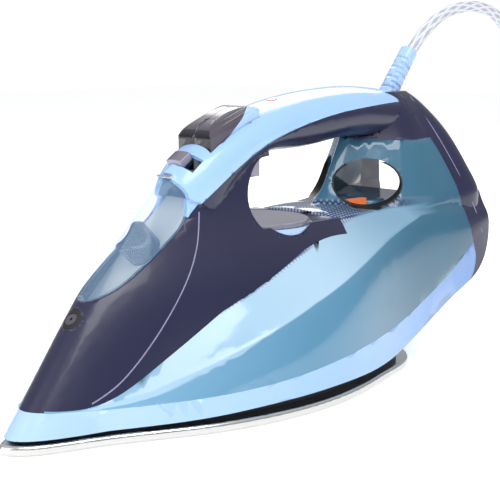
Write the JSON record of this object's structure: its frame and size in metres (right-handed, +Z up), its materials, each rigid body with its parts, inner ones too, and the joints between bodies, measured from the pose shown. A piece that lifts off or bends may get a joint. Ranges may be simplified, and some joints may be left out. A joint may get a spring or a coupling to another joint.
{
  "type": "steam iron",
  "caption": "Steam iron with a flat metal soleplate, side water tank, open handle, temperature dial, filling door, thumb buttons and a swivelling mains cord with a plug.",
  "frame": {"origin": "on the standing plane, under the middle of the iron's length and width, cord left out", "axes": "+X from nose to heel, +Y to the far side, +Z up from the soleplate"},
  "size_m": [0.5543, 0.1845, 0.2077],
  "materials": {
    "steel_plate": "polished sole",
    "light_blue": "satin gloss",
    "navy": "gloss",
    "tank_blue": "clear tinted plastic",
    "clear_blue": "clear pale plastic",
    "black_seal": "matt",
    "dark_grey": "satin",
    "grey_dial": "gloss",
    "cast_alloy": "as cast",
    "heater_tube": "heat darkened",
    "steel": "bright",
    "brass": "plain",
    "inner_plastic": "natural",
    "ceramic": "fired",
    "orange_lamp": "clear tinted",
    "board_green": "lacquered board",
    "wire_white": "sleeve",
    "silicone": "soft hose",
    "cord_grey": "braided",
    "trigger_lilac": "satin",
    "plug_white": "moulded"
  },
  "bodies": {
    "body": {"soleplate": "steel_plate", "sole_seal": "black_seal", "heating_base": "cast_alloy", "steam_chamber_lid": "cast_alloy", "lid_screws": "steel", "heating_element": "heater_tube", "thermostat": "ceramic", "thermal_fuse": "ceramic", "spray_pump": "inner_plastic", "boost_pump": "inner_plastic", "spray_spring": "steel", "boost_spring": "steel", "trigger_spring": "steel", "trigger_seat": "inner_plastic", "drip_valve": "silicone", "fill_well": "inner_plastic", "fill_inlet": "navy", "spray_nozzle": "dark_grey", "nozzle_bezel": "dark_grey", "door_hinge_pin": "steel", "terminal_block": "inner_plastic", "cord_clamp": "inner_plastic", "inner_cord": "cord_grey", "wire_loom": "wire_white", "spray_hose": "silicone", "boost_hose": "silicone", "circuit_board": "board_green", "lamp_deck": "orange_lamp", "lamp_handle": "orange_lamp", "cord_tube": "cord_grey", "cord_coil": "cord_grey", "plug_body": "plug_white", "plug_pins": "brass", "front_housing": "navy", "handle_cover": "light_blue", "skirt": "light_blue", "tank_shell": "tank_blue", "tank_floor": "tank_blue", "rear_housing": "navy", "heel_cover": "navy", "pillar_hole_trims": "black_seal"},
    "door": {"filling_door": "clear_blue"},
    "spray": {"spray_button": "dark_grey", "spray_piston": "inner_plastic"},
    "boost": {"boost_button": "dark_grey", "boost_piston": "inner_plastic"},
    "trigger": {"steam_trigger": "trigger_lilac"},
    "slider": {"steam_slider": "trigger_lilac"},
    "valve": {"valve_needle": "brass"},
    "dial": {"dial_disc": "grey_dial", "dial_seal": "black_seal", "dial_ring": "light_blue", "dial_spindle": "inner_plastic"},
    "cord_swivel": {"swivel_ball": "inner_plastic", "strain_relief": "light_blue"}
  },
  "joints": [
    {"name": "filling_door_hinge", "type": "hinge", "parent": "body", "child": "door", "pos_m": [-0.0647, 0, 0.1165], "axis": [0, 1, 0], "range_deg": [0, 60]},
    {"name": "spray_press", "type": "slide", "parent": "body", "child": "spray", "axis": [0, 0, -1], "range_m": [0, 0.003], "stiffness_N_per_m": 900, "springref_m": -0.0008, "deforming": ["spray_spring"]},
    {"name": "boost_press", "type": "slide", "parent": "body", "child": "boost", "axis": [0, 0, -1], "range_m": [0, 0.003], "stiffness_N_per_m": 900, "springref_m": -0.0008, "deforming": ["boost_spring"]},
    {"name": "trigger_press", "type": "slide", "parent": "body", "child": "trigger", "axis": [0, 0, 1], "range_m": [0, 0.004], "stiffness_N_per_m": 600, "springref_m": -0.001, "deforming": ["trigger_spring"]},
    {"name": "steam_slider_turn", "type": "hinge", "parent": "body", "child": "slider", "pos_m": [-0.04502, 0, 0.10944], "axis": [0.84, 0, 0.5426], "range_deg": [-22, 22]},
    {"name": "steam_valve_lift", "type": "slide", "parent": "body", "child": "valve", "axis": [0, 0, 1], "range_m": [-0.0015, 0.0015]},
    {"name": "dial_turn", "type": "hinge", "parent": "body", "child": "dial", "pos_m": [0.001, 0, 0.085], "axis": [0, 0, 1], "range_deg": [-135, 135]},
    {"name": "cord_swivel_turn", "type": "hinge", "parent": "body", "child": "cord_swivel", "pos_m": [0.1118, 0, 0.1432], "axis": [0.6402, 0, 0.7682], "range_deg": [-170, 170]}
  ],
  "couplings": [
    {"joint": "steam_slider_turn", "follows": "steam_valve_lift", "rad_per_m": 253.42}
  ]
}
